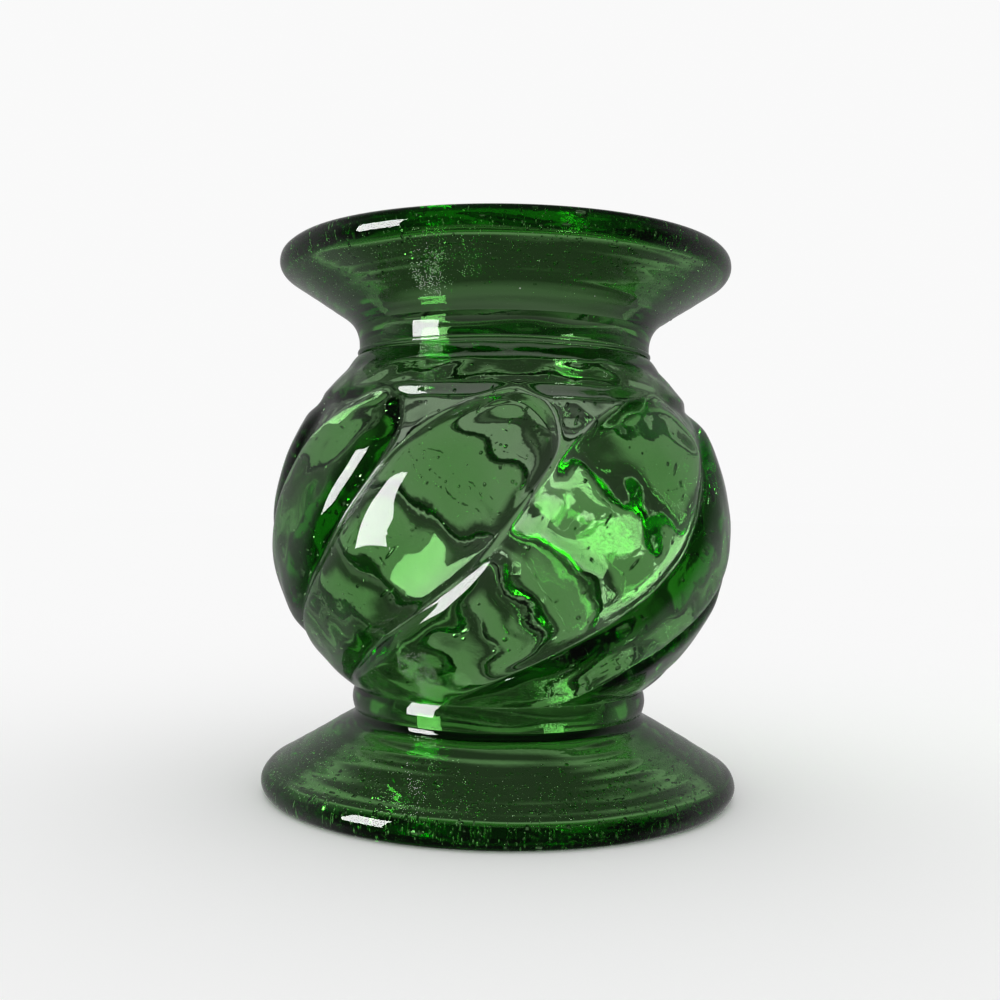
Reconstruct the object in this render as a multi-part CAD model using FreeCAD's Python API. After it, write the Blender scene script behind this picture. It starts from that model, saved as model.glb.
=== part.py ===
import FreeCAD, Part
import math
import os

from FreeCAD import Vector

# Hand-blown glass candlestick: five gathers of glass fused end to end on one upright axis.
# Millimetres. Origin at the centre of the standing plane, +Z up. Every piece is a solid of
# revolution about Z except the globe, whose outside carries swirled ribs.

# ---- foot: a hollow bell that stands on a ground ring -------------------------------------
foot_diameter = 106.0
foot_height = 18.0
foot_wall = 6.6          # measured square to the cone; the edge is a full round of this wall
foot_neck = 0.2          # short upright stretch under the foot ring
foot_neck_bend = 1.9     # radius where that stretch turns into the cone
foot_roof = 5.0          # solid glass over its hollow, which is also the floor of the globe
foot_hollow_round = 12.0  # radius where the hollow's cone turns into its roof
foot_flat_width = 2.8    # ground standing ring

# ---- foot ring: the open collar between foot and globe ------------------------------------
foot_ring_diameter = 66.4
foot_ring_height = 5.0
foot_ring_bulge = 0.7    # how far its rounded side stands out past its two creases
foot_ring_wall = 5.5     # at its creases

# ---- globe: hollow, ribbed by an optic mould and then twisted -----------------------------
globe_diameter = 105.2   # over the crests of the ribs
globe_height = 73.5
globe_equator = 34.0     # height of the widest level above the globe's own bottom
globe_wall = 4.2         # at the equator, under a crest
rib_count = 9
rib_depth = 1.7          # how far a valley is sunk below its crests
rib_top_margin = 10.0    # plain shoulder above the ribs
rib_top_fade = 9.0       # height over which the ribs rise out of the shoulder
rib_bottom_fade = 10.0   # height over which they die out towards the foot ring
twist_rate = 0.85        # degrees of turn per millimetre of height
twist_wind_up = 0.035    # extra turn below the equator, in degrees per square millimetre
rib_start_angle = -90.5  # where one valley crosses the equator, in degrees from +X
rib_levels = 24          # control points from bottom to top
rib_points = 8           # control points across one rib

# ---- neck ring: the open collar round the throat ------------------------------------------
neck_waist_diameter = 65.6
neck_ring_height = 6.0
neck_crease = 1.2        # height of the rounded bead above the globe's shoulder
neck_waist_height = 2.4  # the narrowest level, above the ring's own bottom
neck_wall = 4.3

# ---- flared cup: a funnel with a thick rounded lip ----------------------------------------
cup_diameter = 101.4
cup_height = 17.5
cup_wall = 7.0           # the lip is a full round of this wall
flare_bend = 8.0         # radius of the outside where the neck turns into the funnel
cup_inside_round = 10.0  # radius of the inside where the throat opens into the funnel

# ---- levels of the joints -----------------------------------------------------------------
z_foot_top = foot_height
z_globe_bottom = z_foot_top + foot_ring_height
z_equator = z_globe_bottom + globe_equator
z_globe_top = z_globe_bottom + globe_height
z_cup_bottom = z_globe_top + neck_ring_height
z_top = z_cup_bottom + cup_height

foot_ring_radius = foot_ring_diameter / 2
foot_joint_radius = foot_ring_radius - foot_ring_bulge
waist_radius = neck_waist_diameter / 2
throat_radius = waist_radius - neck_wall
collar_bore_radius = foot_joint_radius - foot_ring_wall
globe_radius = globe_diameter / 2
hollow_radius = globe_radius - globe_wall


def at(radius, height):
    """A point of an outline that is turned about Z."""
    return Vector(radius, 0, height)


def line(start, end):
    return Part.LineSegment(start, end).toShape()


def arc_about(centre, radius, start_deg, end_deg):
    """An arc in the outline's plane by its centre and its two angles from the radial direction."""
    def on_arc(deg):
        angle = math.radians(deg)
        return centre + Vector(radius * math.cos(angle), 0, radius * math.sin(angle))
    return Part.Arc(on_arc(start_deg), on_arc((start_deg + end_deg) / 2), on_arc(end_deg)).toShape()


def joined(pieces):
    """Chain edges and points into one closed outline: gaps between them become straight lines."""
    edges = []
    cursor = None
    first = None
    for piece in pieces:
        start = piece if isinstance(piece, Vector) else piece.firstVertex(True).Point
        end = piece if isinstance(piece, Vector) else piece.lastVertex(True).Point
        if cursor is not None and cursor.distanceToPoint(start) > 1e-6:
            edges.append(line(cursor, start))
        if not isinstance(piece, Vector):
            edges.append(piece)
        if first is None:
            first = start
        cursor = end
    if cursor.distanceToPoint(first) > 1e-6:
        edges.append(line(cursor, first))
    return Part.Wire(edges)


def turned(outline):
    """Revolve a closed outline all the way round Z."""
    return Part.Face(outline).revolve(Vector(0, 0, 0), Vector(0, 0, 1), 360)


def bend_between(corner, toward_start, toward_end, radius):
    """The arc of one radius that rounds a corner between two straight directions."""
    start_dir = Vector(toward_start).normalize()
    end_dir = Vector(toward_end).normalize()
    half = start_dir.getAngle(end_dir) / 2
    reach = radius / math.tan(half)
    centre = corner + (start_dir + end_dir).normalize() * (radius / math.sin(half))
    middle = centre + (corner - centre).normalize() * radius
    return Part.Arc(corner + start_dir * reach, middle, corner + end_dir * reach).toShape()


def make_foot():
    """A cone tangent to the neck's bend and the round of its edge, hollow below.

    The hollow's cone leaves the round where the wall is full, or at the ground ring's inner edge
    where the cone is so shallow that the full wall would reach below the standing plane.
    """
    edge_radius = foot_wall / 2
    half_flat = foot_flat_width / 2
    bead = at(foot_diameter / 2 - edge_radius, math.sqrt(edge_radius ** 2 - half_flat ** 2))
    flat_deg = math.degrees(math.acos(half_flat / edge_radius))
    bend = at(foot_joint_radius + foot_neck_bend, foot_height - foot_neck)
    across = bead - bend
    fall = math.atan2(-across.z, across.x) - math.asin((edge_radius + foot_neck_bend) / across.Length)
    fall_deg = math.degrees(fall)
    outward = at(math.cos(fall), -math.sin(fall))
    cone_deg = 90 - fall_deg
    hollow_turn = math.radians(min(cone_deg, flat_deg) - 180)
    hollow_edge = bead + at(math.cos(hollow_turn), math.sin(hollow_turn)) * edge_radius
    inner_round = hollow_edge
    if cone_deg < flat_deg:
        inner_round = arc_about(bead, edge_radius, flat_deg - 180, cone_deg - 180)
    roof_height = foot_height - foot_roof
    roof_corner = hollow_edge - outward * ((roof_height - hollow_edge.z) / math.sin(fall))
    pieces = [
        at(0, foot_height),
        at(foot_joint_radius, foot_height),
        arc_about(bend, foot_neck_bend, 180, 270 - fall_deg),
        arc_about(bead, edge_radius, cone_deg, -flat_deg),
        inner_round,
        bend_between(roof_corner, outward, at(-1, 0), foot_hollow_round),
        at(0, roof_height),
    ]
    return turned(joined(pieces))


def make_foot_ring():
    bottom = at(foot_joint_radius, z_foot_top)
    top = at(foot_joint_radius, z_globe_bottom)
    side = at(foot_ring_radius, (z_foot_top + z_globe_bottom) / 2)
    pieces = [
        at(collar_bore_radius, z_foot_top),
        Part.Arc(bottom, side, top).toShape(),
        at(collar_bore_radius, z_globe_bottom),
    ]
    return turned(joined(pieces))


def half_ellipse_height(radius, end_radius, rise):
    """The upright half-axis that makes an ellipse as wide as end_radius after this rise."""
    return rise / math.sqrt(1 - (end_radius / radius) ** 2)


upper_half = half_ellipse_height(globe_radius, waist_radius, z_globe_top - z_equator)
lower_half = half_ellipse_height(globe_radius, foot_joint_radius, z_equator - z_globe_bottom)


def globe_outside_radius(z):
    """Radius over the crests: half an ellipse above the equator and half below it."""
    half = upper_half if z >= z_equator else lower_half
    return globe_radius * math.sqrt(max(0.0, 1 - ((z - z_equator) / half) ** 2))


def smooth_step(value):
    value = min(1.0, max(0.0, value))
    return value * value * (3 - 2 * value)


def rib_strength(z):
    """Nothing on the plain shoulder and at the foot ring, full in between."""
    down_from_shoulder = z_globe_top - rib_top_margin - z
    up_from_ring = z - z_globe_bottom
    return smooth_step(down_from_shoulder / rib_top_fade) * smooth_step(up_from_ring / rib_bottom_fade)


def rib_turn(z):
    """How far the ribs have turned at this height, in degrees, counted from the equator."""
    rise = z - z_equator
    return twist_rate * rise - (twist_wind_up * rise * rise if rise < 0 else 0)


def globe_outside_point(around, z):
    """The outside at one angle from a valley and one height: broad crests, narrow valleys."""
    valley = (0.5 + 0.5 * math.cos(rib_count * around)) ** 2
    out = globe_outside_radius(z) - rib_depth * rib_strength(z) * valley
    angle = around + math.radians(rib_start_angle + rib_turn(z))
    return Vector(out * math.cos(angle), out * math.sin(angle), z)


def end_cap(edge, upward):
    """The flat disc that closes one end of the globe's outside, facing away from the globe."""
    face = Part.Face(Part.Wire([edge]))
    if face.normalAt(0, 0).z * upward < 0:
        face.reverse()
    return face


def make_globe():
    """A cubic surface, closed around Z, on a grid of control points, with its two flat ends."""
    around_count = rib_points * rib_count
    rows = []
    for around_step in range(around_count):
        around = 2 * math.pi * around_step / around_count
        rows.append([globe_outside_point(around, z_globe_bottom + globe_height * k / (rib_levels - 1))
                     for k in range(rib_levels)])
    around_knots = list(range(around_count + 1))
    up_knots = list(range(rib_levels - 2))
    up_repeats = [4] + [1] * (rib_levels - 4) + [4]
    surface = Part.BSplineSurface()
    surface.buildFromPolesMultsKnots(rows, [1] * len(around_knots), up_repeats,
                                     around_knots, up_knots, True, False, 3, 3)
    skin = surface.toShape()
    caps = []
    for edge in skin.Edges:
        level = edge.BoundBox
        if edge.isClosed() and level.ZLength < 0.001:
            caps.append(end_cap(edge, 1 if level.ZMin > z_equator else -1))
    outside = Part.makeSolid(Part.makeShell([skin] + caps))
    return outside.cut(make_globe_hollow()).Solids[0]


def make_globe_hollow():
    """The air inside: half an ellipse up to the throat and another down to the open collar."""
    throat_half = half_ellipse_height(hollow_radius, throat_radius, z_globe_top - z_equator)
    collar_half = half_ellipse_height(hollow_radius, collar_bore_radius, z_equator - z_globe_bottom)
    steps = 16
    wall = []
    for step in range(steps + 1):
        z = z_globe_top - globe_height * step / steps
        half = throat_half if z >= z_equator else collar_half
        wall.append(at(hollow_radius * math.sqrt(1 - ((z - z_equator) / half) ** 2), z))
    curve = Part.BSplineCurve()
    curve.interpolate(Points=wall)
    above = z_globe_top + neck_ring_height
    pieces = [at(0, above), at(throat_radius, above), curve.toShape(),
              at(collar_bore_radius, z_foot_top), at(0, z_foot_top)]
    return turned(joined(pieces))


def flare_start():
    """Centres of the lip's round and the neck's bend, and the slope of the cone between them.

    The cone's outside is tangent to both circles and crosses from above the bend to below the lip.
    """
    lip_radius = cup_wall / 2
    lip = at(cup_diameter / 2 - lip_radius, z_top - lip_radius)
    bend = at(waist_radius + flare_bend, z_globe_top + neck_waist_height)
    gap = lip - bend
    reach = math.hypot(gap.x, gap.z)
    lean = math.atan2(gap.z, gap.x) - math.asin((flare_bend + lip_radius) / reach)
    return lip, bend, lean


def make_neck_ring():
    _lip, bend, _lean = flare_start()
    joint_deg = 180 - math.degrees(math.asin((z_cup_bottom - bend.z) / flare_bend))
    bead_bottom = at(waist_radius, z_globe_top)
    bead_top = at(waist_radius, z_globe_top + neck_crease)
    bead_side = at(waist_radius + neck_crease / 3, z_globe_top + neck_crease / 2)
    pieces = [
        at(throat_radius, z_globe_top),
        Part.Arc(bead_bottom, bead_side, bead_top).toShape(),
        arc_about(bend, flare_bend, 180, joint_deg),
        at(throat_radius, z_cup_bottom),
    ]
    return turned(joined(pieces))


def make_flared_cup():
    lip, bend, lean = flare_start()
    lip_radius = cup_wall / 2
    lean_deg = math.degrees(lean)
    joint_deg = 180 - math.degrees(math.asin((z_cup_bottom - bend.z) / flare_bend))
    along = at(math.cos(lean), math.sin(lean))
    square = at(-math.sin(lean), math.cos(lean))
    inside_edge = lip + square * lip_radius
    to_throat = (inside_edge.x - throat_radius) / along.x
    inside_corner = inside_edge - along * to_throat
    pieces = [
        arc_about(bend, flare_bend, joint_deg, lean_deg + 90),
        arc_about(lip, lip_radius, lean_deg - 90, lean_deg + 90),
        bend_between(inside_corner, along, at(0, -1), cup_inside_round),
        at(throat_radius, z_cup_bottom),
    ]
    return turned(joined(pieces))


def main():
    os.makedirs("parts", exist_ok=True)
    makers = {
        "foot": make_foot,
        "foot_ring": make_foot_ring,
        "globe": make_globe,
        "neck_ring": make_neck_ring,
        "flared_cup": make_flared_cup,
    }
    for node, make in makers.items():
        shape = make()
        box = shape.optimalBoundingBox()
        print(node, shape.ShapeType, shape.isValid(), len(shape.Solids), round(shape.Volume),
              [round(v, 2) for v in (box.XMin, box.YMin, box.ZMin, box.XMax, box.YMax, box.ZMax)])
        shape.exportStep("parts/" + node + ".step")


main()
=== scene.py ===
"""Hand-blown glass candlestick in bubbly bottle green: cup, neck ring, ribbed globe, foot ring, foot."""

import math

import bpy
import numpy as np
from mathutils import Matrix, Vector


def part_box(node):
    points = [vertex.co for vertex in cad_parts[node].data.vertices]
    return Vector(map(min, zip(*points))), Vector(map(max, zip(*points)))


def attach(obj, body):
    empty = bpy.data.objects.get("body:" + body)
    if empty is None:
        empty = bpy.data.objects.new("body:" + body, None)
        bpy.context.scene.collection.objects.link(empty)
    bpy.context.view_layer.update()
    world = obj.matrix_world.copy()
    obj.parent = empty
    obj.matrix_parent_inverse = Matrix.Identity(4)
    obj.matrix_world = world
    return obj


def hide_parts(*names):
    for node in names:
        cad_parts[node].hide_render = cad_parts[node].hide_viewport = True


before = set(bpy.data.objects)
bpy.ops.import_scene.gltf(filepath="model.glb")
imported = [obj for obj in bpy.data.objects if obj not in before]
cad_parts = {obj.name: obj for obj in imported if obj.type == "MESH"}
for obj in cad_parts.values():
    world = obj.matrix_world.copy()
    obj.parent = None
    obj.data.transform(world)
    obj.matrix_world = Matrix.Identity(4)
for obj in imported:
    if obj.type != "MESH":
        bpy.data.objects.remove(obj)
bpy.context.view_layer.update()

bl_info = {
    "name": "Blown Glass Candlestick",
    "version": (1, 0, 0),
    "blender": (4, 5, 0),
    "location": "View3D > Sidebar > Candlestick",
    "description": "Builds a hand-blown green glass candlestick piece by piece around its CAD frame",
    "category": "Add Mesh",
}

MM = 0.001
NODES = ("foot", "foot_ring", "globe", "neck_ring", "flared_cup")
BOX = {node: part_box(node) for node in NODES}
LOW = {node: BOX[node][0][2] for node in NODES}
HIGH = {node: BOX[node][1][2] for node in NODES}
REACH = {node: BOX[node][1][0] for node in NODES}
JOINTS = (LOW["foot_ring"], HIGH["foot_ring"], LOW["neck_ring"], HIGH["neck_ring"])
SEAM = 0.02 * MM         # air left between two fused pieces, so that their faces don't coincide
POLE = 0.4 * MM          # radius of the innermost ring of a surface that closes on the axis
RIBS = 9


# ---- sizes and colours a user would change ------------------------------------------------

def linear(colour_hex):
    """An sRGB hex colour as linear red, green, blue and alpha 1."""
    parts = [int(colour_hex[k:k + 2], 16) / 255 for k in (1, 3, 5)]
    return tuple(c / 12.92 if c <= 0.04045 else ((c + 0.055) / 1.055) ** 2.4 for c in parts) + (1.0,)


def length(name, default, description):
    """A property holding a length in metres."""
    return bpy.props.FloatProperty(name=name, description=description, default=default,
                                   unit="LENGTH", precision=5)


class GlassFinish(bpy.types.PropertyGroup):
    tint: bpy.props.FloatVectorProperty(
        name="Tint", description="Colour that the glass lets through", subtype="COLOR",
        default=linear("#8be85d")[:3], min=0, max=1)
    depth: bpy.props.FloatProperty(
        name="Tint strength", description="Absorption per metre of glass", default=200.0)
    ior: bpy.props.FloatProperty(
        name="IOR", description="Refractive index of soda-lime glass", default=1.5)
    ripple: length("Ripple height", 0.00005, "Height of the small waves left by the tools")
    ripple_length: length("Ripple length", 0.009, "Distance between the small waves")
    tooling: length("Tooling height", 0.000022, "Height of the fine rings left by turning")
    skin_length: length("Skin length", 0.0022, "Distance between the chilled skin's faint dimples")
    skin_height: length("Skin height", 0.000012, "Height of those dimples")
    smudge_length: length("Smudge length", 0.012, "Distance between faint marks of handling")
    smudge: bpy.props.FloatProperty(
        name="Smudge", description="Roughness where handling has dulled the polish", default=0.05)
    sway: length("Sway", 0.00035, "How far each level strays from a true circle")
    seed_size: length("Seed size", 0.00052, "Usual diameter of the gas seeds in the globe")
    fine_seed: length("Fine seed", 0.00030, "Usual diameter of the seeds in the cup and the foot")
    fleck_size: length("Fleck size", 0.00042, "Seeds below this diameter only show as pale flecks")
    globe_seeds: bpy.props.IntProperty(
        name="Globe seeds", description="Seeds in the globe", default=1000)
    cup_seeds: bpy.props.IntProperty(name="Cup seeds", description="Seeds in the cup", default=3500)
    foot_seeds: bpy.props.IntProperty(name="Foot seeds", description="Seeds in the foot", default=5500)


class GlobeShape(bpy.types.PropertyGroup):
    inset: length("Inset", 0.0004, "How much smaller its radius is than the foot's")
    wall: length("Wall", 0.0042, "Thickness under a crest at the widest level")
    equator: length("Equator", 0.034, "Height of the widest level above the globe's bottom")
    rib_depth: length("Rib depth", 0.0030, "How far a valley is sunk below its crests")
    ledge: length("Ledge", 0.0016, "Step where the plain shoulder drops to the ribs")
    inner_swell: length("Inner swell", 0.0013, "How far a crest also swells into the hollow")
    rib_top: length("Rib top", 0.0092, "Plain shoulder above the highest point of the ribs")
    brow: length("Brow", 0.0036, "Height over which the shoulder drops to the ribs")
    brow_rise: length("Brow rise", 0.0005, "How far above the ribs' tops that drop starts")
    rib_arch: length("Rib arch", 0.0135, "How much lower a rib's rounded top is at its sides")
    rib_edge: length("Rib edge", 0.0048, "Height over which a rib rises out of the shoulder")
    rib_foot: length("Rib foot", 0.010, "Height over which the ribs die out at the foot ring")
    valley: bpy.props.FloatProperty(
        name="Valley roundness", description="0 is a knife-sharp valley, 1 a soft wave", default=0.08)
    pillow: bpy.props.FloatProperty(
        name="Pillow", description="1 is an evenly rounded rib, more is flatter with steep sides",
        default=2.6)
    flatness: bpy.props.FloatProperty(
        name="Flatness", description="How far a rib's middle is pressed flat, in rib depths",
        default=0.35)
    crowding: bpy.props.FloatProperty(
        name="Crowding", description="How much closer the mesh's columns stand in a valley",
        default=0.7)
    twist: bpy.props.FloatProperty(
        name="Twist", description="Turn of the ribs per metre of height", subtype="ANGLE",
        default=math.radians(850))
    wind_up: bpy.props.FloatProperty(
        name="Wind-up", description="Extra turn below the equator, per square metre",
        subtype="ANGLE", default=math.radians(35000))
    valleys: bpy.props.FloatVectorProperty(
        name="Valleys", description="Where the valleys cross the equator, from the front",
        size=RIBS, default=(-158.0, -120.0, -80.0, -41.5, -0.6, 50.0, 88.0, 127.0, 165.0))


class CupShape(bpy.types.PropertyGroup):
    wall: length("Wall", 0.007, "Wall of the funnel; the lip is a full round of it")
    bend: length("Bend", 0.008, "Outside radius where the neck turns into the funnel")
    inside_round: length("Inside round", 0.010, "Radius where the throat opens into the funnel")
    waist: length("Waist", 0.0024, "Height of the narrowest level above the globe")
    waist_radius: length("Waist radius", 0.0328, "Outside radius of the neck at its narrowest")
    throat_radius: length("Throat radius", 0.0285, "Radius of the hole through the neck")
    bead: length("Bead", 0.0012, "Height of the rounded bead above the globe's shoulder")


class FootShape(bpy.types.PropertyGroup):
    wall: length("Wall", 0.0066, "Wall of the bell; the edge is a full round of it")
    neck: length("Neck", 0.0013, "Short upright stretch under the foot ring")
    neck_bend: length("Neck bend", 0.0019, "Radius where that stretch turns into the bell")
    roof: length("Roof", 0.005, "Solid glass over the hollow of the foot")
    hollow_round: length("Hollow round", 0.012, "Radius where the hollow turns into its roof")
    flat: length("Standing ring", 0.0028, "Width of the ground ring that it stands on")
    ring_wall: length("Ring wall", 0.0055, "Wall of the open collar on the foot, at its creases")
    bulge: length("Ring bulge", 0.0005, "How far the foot ring stands out past its creases")


def level(name, default, description):
    """A property holding a radiance, or a bare number such as a sine."""
    return bpy.props.FloatProperty(name=name, description=description, default=default)


def degrees(name, default, description):
    """A property holding an angle, given in degrees."""
    return bpy.props.FloatProperty(name=name, description=description, subtype="ANGLE",
                                   default=math.radians(default))


class StudioLight(bpy.types.PropertyGroup):
    window: level("Window", 17.0, "Radiance of the tall softbox at the front left")
    window_aside: degrees("Window aside", 62, "How far round to the left the softbox stands")
    window_reach: length("Window reach", 1.2, "Distance of the softbox from the axis")
    window_height: length("Window height", 0.26, "Height of the softbox's middle")
    window_size: bpy.props.FloatVectorProperty(
        name="Window size", description="Width and height of the softbox", unit="LENGTH", size=2,
        default=(0.5, 0.8))
    panels: level("Panels", 0.30, "Radiance of the grey panels round the studio")
    panel_count: level("Panel count", 6, "Number of grey panels round the studio")
    gaps: level("Gaps", 0.06, "Radiance between the panels")
    sheen: level("Sheen", 0.30, "Radiance of the grey room behind, as the glass mirrors it")
    ring: level("Ring", 0.13, "Radiance of the soft rings well above and below the panels")
    dark: level("Dark", 0.045, "Radiance between those rings and the panels, and past the rings")
    band_middle: level("Band middle", -0.02, "Sine of the elevation of the panels' middle")
    band_full: level("Band", 0.10, "Sine of the angle from there that the panels fill")
    band_end: level("Band end", 0.21, "Sine of the angle where the panels have faded out")
    backdrop: level("Backdrop", 0.95, "Radiance of the backdrop as the camera sees it")
    fill: level("Fill", 1.0, "Radiance of the dome that lights the floor")
    floor_colour: bpy.props.FloatVectorProperty(
        name="Floor", description="Pale floor", subtype="COLOR", default=linear("#f9f9f9")[:3])
    floor_reach: length("Floor reach", 6.0, "Radius of the floor")


class CameraPlace(bpy.types.PropertyGroup):
    lens: level("Lens", 41.4, "Focal length in millimetres, on a 36 mm sensor")
    distance: length("Distance", 0.2619, "Distance in front of the axis")
    aside: length("Aside", -0.0004, "Distance to the right of the axis")
    height: length("Height", 0.0635, "Height above the table")
    tilt: degrees("Tilt", 0.27, "How far it looks up")
    roll: degrees("Roll", -1.0, "How far it leans")


# ---- outlines -----------------------------------------------------------------------------

def arc(centre, radius, start, end, step):
    """Points of a circle about centre, from one angle to another, about step apart."""
    count = max(4, int(abs(end - start) * radius / step) + 1)
    angle = np.linspace(start, end, count)
    return np.stack([centre[0] + radius * np.cos(angle), centre[1] + radius * np.sin(angle)], 1)


def straight(start, end, step):
    """Points on a straight line, about step apart."""
    start, end = np.array(start, float), np.array(end, float)
    count = max(2, int(np.linalg.norm(end - start) / step) + 1)
    return start + (end - start) * np.linspace(0, 1, count)[:, None]


def chain(*runs):
    """Runs of points joined into one outline, without the points that two runs share."""
    points = np.concatenate([np.atleast_2d(run) for run in runs])
    far = np.linalg.norm(np.diff(points, axis=0), axis=1) > 0.02 * MM
    return points[np.concatenate([[True], far])]


def rounded_corner(corner, first, second, radius, step):
    """The arc of a circle tangent to two directions out of a corner, from the first to the second."""
    first, second = first / np.linalg.norm(first), second / np.linalg.norm(second)
    half = math.acos(float(np.clip(first @ second, -1, 1))) / 2
    middle = (first + second) / np.linalg.norm(first + second)
    centre = corner + middle * radius / math.sin(half)
    start = corner + first * radius / math.tan(half) - centre
    end = corner + second * radius / math.tan(half) - centre
    from_angle = math.atan2(start[1], start[0])
    turn = (math.atan2(end[1], end[0]) - from_angle + math.pi) % (2 * math.pi) - math.pi
    return arc(centre, radius, from_angle, from_angle + turn, step)


# ---- hand-made unevenness -----------------------------------------------------------------

def waves(points, wavelength, seed):
    """A smooth random height field: the mean of twelve plane waves with seeded directions."""
    rng = np.random.default_rng(seed)
    direction = rng.normal(size=(12, 3))
    direction *= (2 * math.pi / wavelength) / np.linalg.norm(direction, axis=1, keepdims=True)
    direction *= rng.uniform(0.6, 1.5, (12, 1))
    phase = rng.uniform(0, 2 * math.pi, 12)
    return np.sin(points @ direction.T + phase).sum(-1) / math.sqrt(6)


def smooth_step(value):
    """0 below 0, 1 above 1, and an S-curve between."""
    value = np.clip(value, 0, 1)
    return value * value * (3 - 2 * value)


def away_from_joints(height, reach):
    """0 at the levels where two pieces are fused, rising to 1 at reach from them."""
    gap = np.min([np.abs(height - joint) for joint in JOINTS], axis=0)
    return smooth_step(gap / reach)


def swayed(points, finish):
    """Points moved sideways as a hand-turned piece strays: each level is a slightly oval, slightly
    off-centre circle, and the oval and its centre drift with height. Pieces share the formula, so
    they still meet where they are fused."""
    x, y, z = points[..., 0], points[..., 1], points[..., 2]
    angle = np.arctan2(y, x)
    share = np.hypot(x, y) / REACH["foot"]
    total = HIGH["flared_cup"] - LOW["foot"]
    rise = 2 * math.pi * z / total
    oval = np.cos(2 * angle + 1.1 + rise) + 0.6 * np.cos(3 * angle + 0.4 - 1.7 * rise)
    scale = 1 + (oval / 1.6 - 1) * finish.sway / REACH["foot"]
    drift = finish.sway * (0.5 - 0.5 * np.cos(rise)) * (1 - share)
    moved = points.copy()
    moved[..., 0] = x * scale - drift
    moved[..., 1] = y * scale + 0.4 * drift
    return moved


# ---- meshes -------------------------------------------------------------------------------

def faces_of(rings, columns, looped):
    """Quads between neighbouring rings of a grid, closed around the columns."""
    i = np.arange(rings if looped else rings - 1)[:, None]
    j = np.arange(columns)[None, :]
    here, above = i * columns, ((i + 1) % rings) * columns
    right = (j + 1) % columns
    return np.stack([here + j, here + right, above + right, above + j], -1).reshape(-1, 4)


def closed_skin(rings, first_pole=None, last_pole=None):
    """Vertices and faces of rings of points (levels, columns, 3), closed by poles or into a loop."""
    levels, columns = rings.shape[:2]
    looped = first_pole is None
    vertices = rings.reshape(-1, 3)
    faces = faces_of(levels, columns, looped).tolist()
    if not looped:
        j = np.arange(columns)
        right = (j + 1) % columns
        top = len(vertices)
        last = (levels - 1) * columns
        vertices = np.concatenate([vertices, [first_pole, last_pole]])
        faces += np.stack([np.full(columns, top), right, j], 1).tolist()
        faces += np.stack([np.full(columns, top + 1), last + j, last + right], 1).tolist()
    return vertices, faces


def signed_volume(vertices, faces):
    """Volume inside a closed skin: positive if its faces point outwards."""
    fans = np.array([(f[0], f[k], f[k + 1]) for f in faces for k in range(1, len(f) - 1)])
    a, b, c = (vertices[fans[:, k]] for k in range(3))
    return float(np.einsum("ij,ij->", a, np.cross(b, c))) / 6


def seed_bubbles(centres, along, sizes, stretch, finish):
    """Gas seeds as small closed ellipsoids, stretched along the way that the glass was drawn. Each
    is a ball of latitude and longitude whose faces look into the gas, because that side is outside
    the glass."""
    columns, lats = 6, np.radians([-35, 35])       # few, because there are thousands of seeds
    around = np.arange(columns) * 2 * math.pi / columns
    ring = np.stack([np.cos(lats)[:, None] * np.cos(around), np.cos(lats)[:, None] * np.sin(around),
                     np.repeat(np.sin(lats)[:, None], columns, 1)], -1)
    ball, faces = closed_skin(ring, (0, 0, -1), (0, 0, 1))
    if signed_volume(ball, faces) > 0:
        faces = [f[::-1] for f in faces]
    side = np.cross(along, [0.3, 0.5, 0.81])
    side /= np.linalg.norm(side, axis=1, keepdims=True)
    third = np.cross(along, side)
    axes = np.stack([side, third, along * stretch[:, None]], 1) * (sizes / 2)[:, None, None]
    vertices = swayed(centres, finish)[:, None, :] + np.einsum("vk,nkd->nvd", ball, axes)
    every = [[v + n * len(ball) for v in face] for n in range(len(centres)) for face in faces]
    return vertices.reshape(-1, 3), every


def seed_flecks(centres, sizes, finish):
    """The finest seeds as small closed octahedra, faces outward: too small to look into, they only
    scatter the light."""
    tips = np.concatenate([np.eye(3), -np.eye(3)])
    faces = [(0, 1, 2), (1, 3, 2), (3, 4, 2), (4, 0, 2), (1, 0, 5), (3, 1, 5), (4, 3, 5), (0, 4, 5)]
    vertices = swayed(centres, finish)[:, None, :] + tips[None] * (sizes / 2)[:, None, None]
    every = [[v + n * len(tips) for v in face] for n in range(len(centres)) for face in faces]
    return vertices.reshape(-1, 3), every


def seeds_in_glass(centres, along, sizes, stretch, finish):
    """Clear bubbles for the larger seeds and flecks for the finest."""
    large = sizes > finish.fleck_size
    clear = seed_bubbles(centres[large], along[large], sizes[large], stretch[large], finish)
    return clear, seed_flecks(centres[~large], sizes[~large], finish)


def round_axis(radius, angle, height):
    """Points at these radii, angles and heights about the upright axis: r cos a, r sin a, z."""
    return np.stack([radius * np.cos(angle), radius * np.sin(angle), height], -1)


def seed_sizes(rng, count, usual, long_share):
    """Diameters spread log-normally about the usual one, and how far each seed is drawn out."""
    sizes = np.clip(usual * np.exp(rng.normal(0, 0.42, count)), usual / 3, 3 * usual)
    is_long = rng.random(count) < long_share
    stretch = np.where(is_long, rng.uniform(2, 4.5, count), rng.uniform(1, 1.3, count))
    return sizes, stretch


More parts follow.
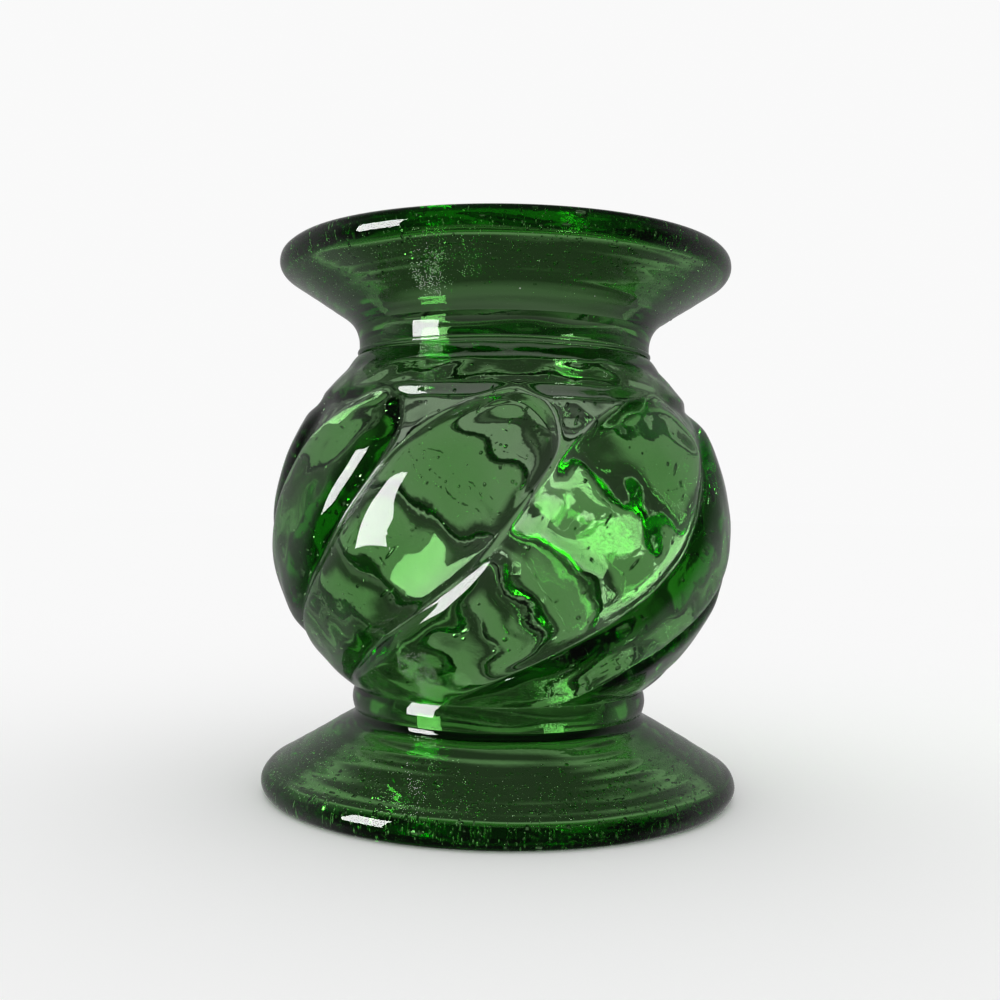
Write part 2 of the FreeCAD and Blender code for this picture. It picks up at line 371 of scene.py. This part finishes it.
def cone_seeds(start, end, wall, count, usual, finish, seed):
    """Seeds in a conical wall, whose middle runs from start to end (radius, height); spinning the
    soft glass has drawn the long ones out round the axis."""
    rng = np.random.default_rng(seed)
    share = np.sqrt(rng.random(count))
    slope = (end - start) / np.linalg.norm(end - start)
    clear_of_skin = 0.8 * MM
    across = rng.uniform(-1, 1, count) * (wall / 2 - clear_of_skin)
    square = np.array([-slope[1], slope[0]])
    middle = start + (end - start) * share[:, None] + across[:, None] * square
    angle = rng.uniform(0, 2 * math.pi, count)
    along = np.stack([-np.sin(angle), np.cos(angle), np.zeros(count)], -1)
    sizes, stretch = seed_sizes(rng, count, usual, 0.1)
    return seeds_in_glass(round_axis(middle[:, 0], angle, middle[:, 1]), along, sizes, stretch, finish)


def glass_piece(name, node, skin, seeds):
    """A finished piece: skin and seeds in one mesh, smooth but for the corners of its joints."""
    vertices, faces = skin
    if signed_volume(vertices, faces) < 0:
        faces = [f[::-1] for f in faces]
    for more_vertices, more_faces in seeds:
        faces = faces + [[v + len(vertices) for v in f] for f in more_faces]
        vertices = np.concatenate([vertices, more_vertices])
    mesh = bpy.data.meshes.new(name)
    mesh.from_pydata(vertices.tolist(), [], faces)
    mesh.polygons.foreach_set("use_smooth", np.ones(len(mesh.polygons), bool))
    mesh.materials.append(bottle_green_glass())
    if seeds:
        mesh.materials.append(seed_haze())
        flecks = len(seeds[-1][1])
        slots = np.zeros(len(mesh.polygons), np.int32)
        slots[len(slots) - flecks:] = 1
        mesh.polygons.foreach_set("material_index", slots)
    mesh.set_sharp_from_angle(angle=math.radians(55))
    mesh.validate()
    mesh.update()
    piece = bpy.data.objects.new(name, mesh)
    bpy.context.scene.collection.objects.link(piece)
    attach(piece, "root")
    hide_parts(node)
    return piece


def turned(outline, columns, finish, seed, looped):
    """An outline carried round the axis and lifted along its normals, away from the joints, by broad
    ripples and by tooling: waves three times as close along the outline as round the axis, which
    read as rings left by turning."""
    tangent = np.gradient(outline, axis=0)
    if looped:
        tangent = (np.roll(outline, -1, 0) - np.roll(outline, 1, 0)) / 2
    normal = np.stack([tangent[:, 1], -tangent[:, 0]], 1)
    normal /= np.maximum(np.linalg.norm(normal, axis=1, keepdims=True), 1e-12)
    angle = np.arange(columns) * 2 * math.pi / columns
    round_about = np.stack([np.cos(angle), np.sin(angle)], 1)

    def place(radius, height):
        flat = radius[:, None, None] * round_about[None]
        return np.concatenate([flat, np.broadcast_to(height[:, None, None], flat.shape[:2] + (1,))], -1)

    rings = place(outline[:, 0], outline[:, 1])
    height = outline[:, 1]
    along = np.concatenate([[0], np.cumsum(np.linalg.norm(np.diff(outline, axis=0), axis=1))])
    small_turn = 6 * MM * round_about[None]
    drawn = np.stack(np.broadcast_arrays(3 * along[:, None], small_turn[..., 0], small_turn[..., 1]), -1)
    keep = away_from_joints(height, 3 * MM) * smooth_step((height - LOW["foot"]) / MM)
    keep = keep * smooth_step((HIGH["flared_cup"] - height) / MM)
    lift = waves(rings, 2.5 * finish.ripple_length, seed) * finish.ripple
    lift = (lift + waves(drawn, finish.ripple_length, seed + 50) * finish.tooling) * keep[:, None]
    rings = rings + lift[..., None] * place(normal[:, 0], normal[:, 1])
    return swayed(rings, finish)


# ---- operators ----------------------------------------------------------------------------

def settings():
    """The sizes and colours set in the scene's panel."""
    return bpy.context.scene.candlestick


def add_node(tree, kind, attributes=None, inputs=None):
    """A node with these attributes, and its sockets, by name or number, set to a value or linked."""
    node = tree.nodes.new(kind)
    for key, value in (attributes or {}).items():
        setattr(node, key, value)
    for key, value in (inputs or {}).items():
        if isinstance(value, bpy.types.NodeSocket):
            tree.links.new(value, node.inputs[key])
        else:
            node.inputs[key].default_value = value
    return node


def new_material(name):
    """An empty node material, and its tree."""
    material = bpy.data.materials.new(name)
    material.use_nodes = True
    material.node_tree.nodes.clear()
    return material, material.node_tree


def bottle_green_glass():
    """Soda-lime glass coloured with iron, fire-polished: mirror smooth, clear and deep green where
    it is thick. Its skin chilled against the tools in faint dimples, and handling has dulled it in
    faint smudges."""
    name = "bottle_green_glass"
    if name in bpy.data.materials:
        return bpy.data.materials[name]
    finish = settings().glass
    material, tree = new_material(name)
    where = add_node(tree, "ShaderNodeTexCoord").outputs["Object"]
    dimples = add_node(tree, "ShaderNodeTexNoise", None, {
        "Vector": where, "Scale": 1 / finish.skin_length, "Detail": 2.0})
    bump = add_node(tree, "ShaderNodeBump", None, {
        "Height": dimples.outputs["Fac"], "Strength": 1.0, "Distance": finish.skin_height})
    smudge = add_node(tree, "ShaderNodeTexNoise", None, {
        "Vector": where, "Scale": 1 / finish.smudge_length, "Detail": 3.0})
    dulled = add_node(tree, "ShaderNodeMapRange", None, {
        "Value": smudge.outputs["Fac"], "From Min": 0.5, "From Max": 0.75,
        "To Min": 0.0, "To Max": finish.smudge})
    shader = add_node(tree, "ShaderNodeBsdfPrincipled", None, {
        "Base Color": (1, 1, 1, 1), "IOR": finish.ior, "Transmission Weight": 1.0,
        "Roughness": dulled.outputs["Result"], "Normal": bump.outputs["Normal"]})
    absorb = add_node(tree, "ShaderNodeVolumeAbsorption", None, {
        "Color": (*finish.tint, 1), "Density": finish.depth})
    add_node(tree, "ShaderNodeOutputMaterial", None, {
        "Surface": shader.outputs["BSDF"], "Volume": absorb.outputs["Volume"]})
    return material


def seed_haze():
    """Gas seeds too fine to see into: their walls scatter the light, so they read as pale specks."""
    name = "gas_seed_haze"
    if name in bpy.data.materials:
        return bpy.data.materials[name]
    material, tree = new_material(name)
    where = add_node(tree, "ShaderNodeTexCoord").outputs["Object"]
    cloud = add_node(tree, "ShaderNodeTexNoise", None, {
        "Vector": where, "Scale": 1 / (4 * MM), "Detail": 1.0})
    tone = add_node(tree, "ShaderNodeMix", {"data_type": "RGBA"}, {
        "Factor": cloud.outputs["Fac"], 6: linear("#8f9c8b"), 7: linear("#eef3ea")})
    shader = add_node(tree, "ShaderNodeBsdfPrincipled", None, {
        "Base Color": tone.outputs[2], "Roughness": 0.5})
    add_node(tree, "ShaderNodeOutputMaterial", None, {"Surface": shader.outputs["BSDF"]})
    return material


def pale_paper():
    """Matt white paper under the piece: it scatters the light evenly and mirrors nothing."""
    material, tree = new_material("pale_paper")
    shader = add_node(tree, "ShaderNodeBsdfPrincipled", None, {
        "Base Color": (*settings().light.floor_colour, 1), "Roughness": 1.0, "Specular IOR Level": 0.0})
    add_node(tree, "ShaderNodeOutputMaterial", None, {"Surface": shader.outputs["BSDF"]})
    return material


class CANDLESTICK_OT_foot(bpy.types.Operator):
    """The flared foot: a bell with a thick rounded edge, a ground ring and a hollow below"""
    bl_idname = "candlestick.foot"
    bl_label = "Foot"

    def execute(self, context):
        shape, finish = settings().foot, settings().glass
        top, step = HIGH["foot"] - SEAM, 0.6 * MM
        joint_radius = REACH["foot_ring"] - shape.bulge
        edge = shape.wall / 2
        half_flat = shape.flat / 2
        bead = np.array([REACH["foot"] - edge, math.sqrt(edge ** 2 - half_flat ** 2)])
        flat_angle = math.acos(half_flat / edge)
        neck = np.array([joint_radius, top - shape.neck])
        across = bead - neck
        fall = math.atan2(-across[1], across[0]) - math.asin(edge / np.linalg.norm(across))
        outward = np.array([math.cos(fall), -math.sin(fall)])
        square = np.array([math.sin(fall), math.cos(fall)])
        hollow_edge = bead - square * edge
        roof = hollow_edge - outward * (top - shape.roof - hollow_edge[1]) / math.sin(fall)
        cone = math.pi / 2 - fall
        neck_arc = rounded_corner(neck, np.array([0.0, 1.0]), outward, shape.neck_bend, 0.25 * MM)
        roof_arc = rounded_corner(roof, outward, np.array([-1.0, 0.0]), shape.hollow_round, step)
        outer_bead = arc(bead, edge, cone, -flat_angle, 0.3 * MM)
        inner_bead = arc(bead, edge, flat_angle - math.pi, cone - math.pi, 0.3 * MM)
        outline = chain(
            straight((POLE, top), (joint_radius, top), 2 * MM),
            straight((joint_radius, top), neck_arc[0], step),
            neck_arc,
            straight(neck_arc[-1], outer_bead[0], step),
            outer_bead,
            straight(outer_bead[-1], inner_bead[0], step),
            inner_bead,
            straight(inner_bead[-1], roof_arc[0], step),
            roof_arc,
            straight(roof_arc[-1], (POLE, top - shape.roof), MM),
        )
        rings = turned(outline, 240, finish, 11, False)
        centre = rings.mean(1)
        skin = closed_skin(rings, centre[0], centre[-1])
        near_neck = bead - outward * np.linalg.norm(across) * 0.8
        seeds = cone_seeds(near_neck, bead, shape.wall, finish.foot_seeds, finish.fine_seed, finish, 33)
        glass_piece("foot_glass", "foot", skin, seeds)
        return {"FINISHED"}


class CANDLESTICK_OT_foot_ring(bpy.types.Operator):
    """The open flattened collar between foot and globe"""
    bl_idname = "candlestick.foot_ring"
    bl_label = "Foot ring"

    def execute(self, context):
        shape, finish = settings().foot, settings().glass
        low, high = LOW["foot_ring"] + SEAM, HIGH["foot_ring"] - SEAM
        crease = REACH["foot_ring"] - shape.bulge
        bore = crease - shape.ring_wall
        half = (high - low) / 2
        radius = (half ** 2 + shape.bulge ** 2) / (2 * shape.bulge)
        side = math.asin(half / radius)
        outline = chain(
            arc((REACH["foot_ring"] - radius, low + half), radius, -side, side, 0.25 * MM),
            straight((crease, high), (bore, high), MM)[1:-1],
            straight((bore, high), (bore, low), 0.4 * MM),
            straight((bore, low), (crease, low), MM)[1:-1],
        )
        rings = turned(outline, 240, finish, 12, True)
        glass_piece("foot_ring_glass", "foot_ring", closed_skin(rings), ())
        return {"FINISHED"}


class CANDLESTICK_OT_globe(bpy.types.Operator):
    """The hollow globe with its swirled ribs"""
    bl_idname = "candlestick.globe"
    bl_label = "Globe"

    def execute(self, context):
        shape, cup, foot = settings().globe, settings().cup, settings().foot
        finish = settings().glass
        low, high = LOW["globe"] + SEAM, HIGH["globe"] - SEAM
        equator = LOW["globe"] + shape.equator
        collar = REACH["foot_ring"] - foot.bulge
        radius = REACH["foot"] - shape.inset

        def half_ellipse(widest, top_radius, bottom_radius, count):
            """Outline from bottom to top, wide as given at both ends and at the equator."""
            below = -math.acos(bottom_radius / widest)
            above = math.acos(top_radius / widest)
            turn = np.concatenate([np.linspace(below, 0, count)[:-1], np.linspace(0, above, count)])
            half = np.where(turn < 0, (low - equator) / math.sin(below), (high - equator) / math.sin(above))
            return np.stack([widest * np.cos(turn), equator + half * np.sin(turn)], 1)

        outside = half_ellipse(radius, cup.waist_radius, collar, 80)
        inside = half_ellipse(radius - shape.wall, cup.throat_radius, collar - foot.ring_wall, 56)[::-1]

        per_rib = 36
        even = np.arange(RIBS * per_rib) / per_rib
        phase = even - np.sin(2 * math.pi * even) * shape.crowding / (2 * math.pi)
        valleys = np.radians(np.array(shape.valleys))
        knots = np.concatenate([valleys, [valleys[0] + 2 * math.pi]])
        start_angle = np.interp(phase, np.arange(RIBS + 1), knots) - math.pi / 2
        across = np.abs(np.sin(math.pi * phase))
        sharp = np.sqrt(across ** 2 + shape.valley ** 2) - shape.valley
        sharp /= math.sqrt(1 + shape.valley ** 2) - shape.valley
        crest = 1 - (1 - sharp) ** shape.pillow
        crest = crest * (1 - shape.flatness * (1 - (2 * (phase % 1) - 1) ** 2))
        arch = high - shape.rib_top - shape.rib_arch * (1 - across ** 0.7)
        brow = high - shape.rib_top + shape.brow_rise

        def placed(outline, grow, sink, ledge, profile):
            """The outline turned round the axis as it rises. It is sunk below the shoulder, and ribs
            of this profile grow out of it below their arches; both fade out at the ends."""
            z = outline[:, 1]
            top = smooth_step((arch[None] - z[:, None]) / shape.rib_edge)
            bottom = smooth_step((z - low) / shape.rib_foot)[:, None]
            shoulder = smooth_step((brow - z) / shape.brow)[:, None]
            rise = z - equator
            angle = shape.twist * rise - shape.wind_up * np.minimum(rise, 0) ** 2
            angle = start_angle[None] + angle[:, None]
            out = outline[:, 0][:, None] + grow * profile[None] * top * bottom
            throat = smooth_step((high - z) / (4 * MM))[:, None]
            out = out - (sink - ledge * (1 - shoulder)) * bottom * throat
            z = np.broadcast_to(z[:, None], out.shape)
            return np.stack([out * np.cos(angle), out * np.sin(angle), z], -1)

        skin_out = placed(outside, shape.rib_depth, shape.rib_depth, shape.ledge, crest)
        skin_in = placed(inside, -shape.inner_swell, 0, 0, across ** 2)
        for rings, seed in ((skin_out, 21), (skin_in, 22)):
            outward = (rings - [0, 0, equator]) * [1, 1, 0.6]
            outward /= np.linalg.norm(outward, axis=-1, keepdims=True)
            keep = away_from_joints(rings[..., 2], 4 * MM)
            rings += (waves(rings, finish.ripple_length, seed) * finish.ripple * keep)[..., None] * outward
        rings = swayed(np.concatenate([skin_out, skin_in]), finish)

        seeds = self.seeds(outside, inside, shape, finish)
        glass_piece("globe_glass", "globe", closed_skin(rings), seeds)
        return {"FINISHED"}

    def seeds(self, outside, inside, shape, finish):
        """Seeds anywhere in the wall under the valleys, the long ones drawn out along the swirl: up
        the outline, and round the axis as fast as the ribs turn at that level."""
        ends, margin = 5 * MM, 0.45 * MM
        equator = LOW["globe"] + shape.equator
        rng = np.random.default_rng(31)
        z = rng.uniform(outside[0, 1] + ends, outside[-1, 1] - ends, finish.globe_seeds)
        wall_in = np.interp(z, inside[::-1, 1], inside[::-1, 0])
        over_crests = np.interp(z, outside[:, 1], outside[:, 0])
        wall_out = over_crests - shape.rib_depth
        out = wall_in + margin + rng.random(len(z)) * (wall_out - wall_in - 2 * margin)
        angle = rng.uniform(0, 2 * math.pi, len(z))
        rate = shape.twist + 2 * shape.wind_up * np.maximum(equator - z, 0)
        lean = (np.interp(z + MM, outside[:, 1], outside[:, 0]) - over_crests) / MM
        along = np.stack([lean * np.cos(angle) - out * rate * np.sin(angle),
                          lean * np.sin(angle) + out * rate * np.cos(angle), np.ones(len(z))], -1)
        along /= np.linalg.norm(along, axis=1, keepdims=True)
        sizes, stretch = seed_sizes(rng, len(z), finish.seed_size, 0.2)
        sizes = np.minimum(sizes, wall_out - wall_in - 0.3 * MM)
        return seeds_in_glass(round_axis(out, angle, z), along, sizes, stretch, finish)


def flare(shape):
    """Centres of the lip's round and of the neck's bend, the slope of the cone tangent to both, and
    the angle about the bend's centre where the neck ring ends."""
    lip_radius = shape.wall / 2
    lip = np.array([REACH["flared_cup"] - lip_radius, HIGH["flared_cup"] - lip_radius])
    bend = np.array([shape.waist_radius + shape.bend, LOW["neck_ring"] + shape.waist])
    gap = lip - bend
    lean = math.atan2(gap[1], gap[0]) - math.asin((shape.bend + lip_radius) / np.linalg.norm(gap))
    joint = math.pi - math.asin((LOW["flared_cup"] - bend[1]) / shape.bend)
    return lip, bend, lean, joint


class CANDLESTICK_OT_neck_ring(bpy.types.Operator):
    """The open collar round the throat"""
    bl_idname = "candlestick.neck_ring"
    bl_label = "Neck ring"

    def execute(self, context):
        shape, finish = settings().cup, settings().glass
        _lip, bend, _lean, joint = flare(shape)
        low, high = LOW["neck_ring"] + SEAM, HIGH["neck_ring"] - SEAM
        half = shape.bead / 2
        bulge = shape.bead / 3
        radius = (half ** 2 + bulge ** 2) / (2 * bulge)
        side = math.asin(half / radius)
        bead = arc((shape.waist_radius + bulge - radius, low + half), radius, -side, side, 0.1 * MM)
        joint_radius = bend[0] + shape.bend * math.cos(joint)
        outline = chain(
            bead,
            straight(bead[-1], bend - [shape.bend, 0], 0.3 * MM),
            arc(bend, shape.bend, math.pi, joint, 0.3 * MM)[:-1],
            straight((joint_radius, high), (shape.throat_radius, high), MM)[:-1],
            straight((shape.throat_radius, high), (shape.throat_radius, low), 0.4 * MM),
            straight((shape.throat_radius, low), bead[0], MM)[1:-1],
        )
        rings = turned(outline, 240, finish, 13, True)
        glass_piece("neck_ring_glass", "neck_ring", closed_skin(rings), ())
        return {"FINISHED"}


class CANDLESTICK_OT_flared_cup(bpy.types.Operator):
    """The funnel-shaped candle cup with a thick rounded lip"""
    bl_idname = "candlestick.flared_cup"
    bl_label = "Flared cup"

    def execute(self, context):
        shape, finish = settings().cup, settings().glass
        lip, bend, lean, joint = flare(shape)
        low = LOW["flared_cup"] + SEAM
        along = np.array([math.cos(lean), math.sin(lean)])
        square = np.array([-math.sin(lean), math.cos(lean)])
        inside_edge = lip + square * shape.wall / 2
        corner = inside_edge - along * (inside_edge[0] - shape.throat_radius) / along[0]
        throat_arc = rounded_corner(corner, along, np.array([0.0, -1.0]), shape.inside_round, 0.5 * MM)
        bend_arc = arc(bend, shape.bend, joint, lean + math.pi / 2, 0.3 * MM)
        lip_arc = arc(lip, shape.wall / 2, lean - math.pi / 2, lean + math.pi / 2, 0.3 * MM)
        outline = chain(
            (bend_arc[0][0], low),
            bend_arc[1:],
            straight(bend_arc[-1], lip_arc[0], 0.6 * MM),
            lip_arc,
            straight(lip_arc[-1], throat_arc[0], 0.6 * MM),
            throat_arc,
            straight(throat_arc[-1], (shape.throat_radius, low), 0.4 * MM),
            straight((shape.throat_radius, low), (bend_arc[0][0], low), MM)[1:-1],
        )
        rings = turned(outline, 240, finish, 14, True)
        middle_low = np.array([shape.throat_radius, low]) + np.array([0.5, 0.45]) * shape.wall
        near_throat = middle_low + along * 2.5 * MM
        seeds = cone_seeds(near_throat, lip, shape.wall, finish.cup_seeds, finish.fine_seed, finish, 32)
        glass_piece("flared_cup_glass", "flared_cup", closed_skin(rings), seeds)
        return {"FINISHED"}


def softbox(name, place, aim, size, radiance):
    """A flat rectangular light aimed at a point. Its power is radiance times pi times its area."""
    light = bpy.data.lights.new(name, "AREA")
    light.shape = "RECTANGLE"
    light.size, light.size_y = size
    light.energy = radiance * math.pi * size[0] * size[1]
    lamp = bpy.data.objects.new(name, light)
    lamp.location = place
    lamp.rotation_mode = "QUATERNION"
    lamp.rotation_quaternion = (Vector(place) - Vector(aim)).to_track_quat("Z", "Y")
    lamp.visible_camera = lamp.visible_diffuse = False
    bpy.context.scene.collection.objects.link(lamp)


def pale_floor(light):
    """A wide disc. The glass neither mirrors nor shows it, because the studio stands for it there."""
    mesh = bpy.data.meshes.new("floor")
    angle = np.arange(96) * 2 * math.pi / 96
    edge = round_axis(light.floor_reach, angle, 0 * angle)
    mesh.from_pydata(edge.tolist(), [], [list(range(96))])
    mesh.materials.append(pale_paper())
    floor = bpy.data.objects.new("floor", mesh)
    floor.visible_transmission = floor.visible_glossy = False
    bpy.context.scene.collection.objects.link(floor)


def studio_world(light):
    """The room round the glass, by direction. Grey panels stand in a band at eye level: cosine waves
    round the horizon, cut to steps. Above and below them come darkness, a soft ring and darkness
    again. What the outside of the glass mirrors is the plain grey room behind. The camera and the
    floor see an even white."""
    world = bpy.data.worlds.new("studio")
    world.use_nodes = True
    world.cycles.sampling_method = "NONE"
    tree = world.node_tree
    tree.nodes.clear()

    where = add_node(tree, "ShaderNodeTexCoord").outputs["Generated"]
    x, y, z = add_node(tree, "ShaderNodeSeparateXYZ", None, {"Vector": where}).outputs
    turn = add_node(tree, "ShaderNodeMath", {"operation": "ARCTAN2"}, {0: x, 1: y})
    turns = add_node(tree, "ShaderNodeMath", {"operation": "MULTIPLY"}, {
        0: turn.outputs[0], 1: light.panel_count})
    wave = add_node(tree, "ShaderNodeMath", {"operation": "COSINE"}, {0: turns.outputs[0]})
    panel = add_node(tree, "ShaderNodeMapRange", {"interpolation_type": "SMOOTHSTEP"}, {
        "Value": wave.outputs[0], "From Min": -0.5, "From Max": 0.3,
        "To Min": light.gaps, "To Max": light.panels})
    shift = add_node(tree, "ShaderNodeMath", {"operation": "SUBTRACT"}, {0: z, 1: light.band_middle})
    rise = add_node(tree, "ShaderNodeMath", {"operation": "ABSOLUTE"}, {0: shift.outputs[0]})
    band = add_node(tree, "ShaderNodeMapRange", {"interpolation_type": "SMOOTHSTEP"}, {
        "Value": rise.outputs[0], "From Min": light.band_full, "From Max": light.band_end,
        "To Min": 1.0, "To Max": 0.0})
    ring = add_node(tree, "ShaderNodeValToRGB", None, {"Fac": rise.outputs[0]})
    stops = ((0.30, light.dark), (0.42, light.ring), (0.72, light.ring), (0.86, light.dark))
    while len(ring.color_ramp.elements) < len(stops):
        ring.color_ramp.elements.new(1.0)
    for element, (place, glow) in zip(ring.color_ramp.elements, stops):
        element.position = place
        element.color = (glow, glow, glow, 1)
    through = add_node(tree, "ShaderNodeMix", {"data_type": "FLOAT"}, {
        0: band.outputs[0], 2: ring.outputs["Color"], 3: panel.outputs[0]})
    behind = add_node(tree, "ShaderNodeMapRange", {"interpolation_type": "SMOOTHSTEP"}, {
        "Value": y, "From Min": -0.3, "From Max": 0.3, "To Min": light.dark, "To Max": light.sheen})
    mirrored = add_node(tree, "ShaderNodeMapRange", {"interpolation_type": "SMOOTHSTEP"}, {
        "Value": rise.outputs[0], "From Min": 0.55, "From Max": 0.85,
        "To Min": behind.outputs[0], "To Max": light.dark})
    ray = add_node(tree, "ShaderNodeLightPath").outputs
    glass = add_node(tree, "ShaderNodeMix", {"data_type": "FLOAT"}, {
        0: ray["Is Reflection Ray"], 2: through.outputs[0], 3: mirrored.outputs[0]})
    seen = add_node(tree, "ShaderNodeMix", {"data_type": "FLOAT"}, {
        0: ray["Is Camera Ray"], 2: glass.outputs[0], 3: light.backdrop})
    lit = add_node(tree, "ShaderNodeMix", {"data_type": "FLOAT"}, {
        0: ray["Is Diffuse Ray"], 2: seen.outputs[0], 3: light.fill})
    back = add_node(tree, "ShaderNodeBackground", None, {"Color": lit.outputs[0]})
    add_node(tree, "ShaderNodeOutputWorld", None, {"Surface": back.outputs[0]})
    return world


class CANDLESTICK_OT_stage(bpy.types.Operator):
    """Pale floor, a ring of soft grey panels, one tall softbox, and the camera"""
    bl_idname = "candlestick.stage"
    bl_label = "Stage"

    def execute(self, context):
        light, place = settings().light, settings().camera
        scene = context.scene
        pale_floor(light)
        scene.world = studio_world(light)

        across = -light.window_reach * math.sin(light.window_aside)
        back = -light.window_reach * math.cos(light.window_aside)
        middle = (0, 0, HIGH["flared_cup"] / 2)
        softbox("window_softbox", (across, back, light.window_height), middle, light.window_size,
                light.window)

        lens = bpy.data.cameras.new("camera")
        lens.lens, lens.sensor_width = place.lens, 36
        camera = bpy.data.objects.new("camera", lens)
        camera.location = (place.aside, -place.distance, place.height)
        camera.rotation_euler = (math.pi / 2 + place.tilt, place.roll, 0)
        scene.collection.objects.link(camera)
        scene.camera = camera
        scene.view_settings.view_transform = "Standard"
        scene.cycles.max_bounces = 32            # a ray crosses up to eight walls of glass
        scene.cycles.transmission_bounces = 32
        scene.cycles.glossy_bounces = 16
        return {"FINISHED"}


class CandlestickSettings(bpy.types.PropertyGroup):
    glass: bpy.props.PointerProperty(type=GlassFinish, name="Glass", description="Finish of the glass")
    globe: bpy.props.PointerProperty(type=GlobeShape, name="Globe", description="Shape of the globe")
    cup: bpy.props.PointerProperty(type=CupShape, name="Cup", description="Shape of the cup and neck")
    foot: bpy.props.PointerProperty(type=FootShape, name="Foot", description="Shape of the foot")
    light: bpy.props.PointerProperty(type=StudioLight, name="Light", description="Studio lighting")
    camera: bpy.props.PointerProperty(type=CameraPlace, name="Camera", description="Camera's place")


OPERATORS = (
    CANDLESTICK_OT_stage,
    CANDLESTICK_OT_foot,
    CANDLESTICK_OT_foot_ring,
    CANDLESTICK_OT_globe,
    CANDLESTICK_OT_neck_ring,
    CANDLESTICK_OT_flared_cup,
)


class CANDLESTICK_PT_panel(bpy.types.Panel):
    """Lists the operators that build the candlestick"""
    bl_idname = "CANDLESTICK_PT_panel"
    bl_label = "Glass Candlestick"
    bl_space_type = "VIEW_3D"
    bl_region_type = "UI"
    bl_category = "Candlestick"

    def draw(self, context):
        for operator in OPERATORS:
            self.layout.operator(operator.bl_idname)
        for group in ("glass", "globe", "cup", "foot", "light", "camera"):
            values = getattr(context.scene.candlestick, group)
            box = self.layout.box()
            for name in values.bl_rna.properties.keys():
                if name not in ("rna_type", "name"):
                    box.prop(values, name)


CLASSES = (GlassFinish, GlobeShape, CupShape, FootShape, StudioLight, CameraPlace,
           CandlestickSettings, *OPERATORS, CANDLESTICK_PT_panel)


def register():
    for cls in CLASSES:
        bpy.utils.register_class(cls)
    bpy.types.Scene.candlestick = bpy.props.PointerProperty(type=CandlestickSettings)


def unregister():
    del bpy.types.Scene.candlestick
    for cls in reversed(CLASSES):
        bpy.utils.unregister_class(cls)


def main():
    register()
    for operator in OPERATORS:
        group, name = operator.bl_idname.split(".")
        getattr(getattr(bpy.ops, group), name)()


if __name__ == "__main__":
    main()
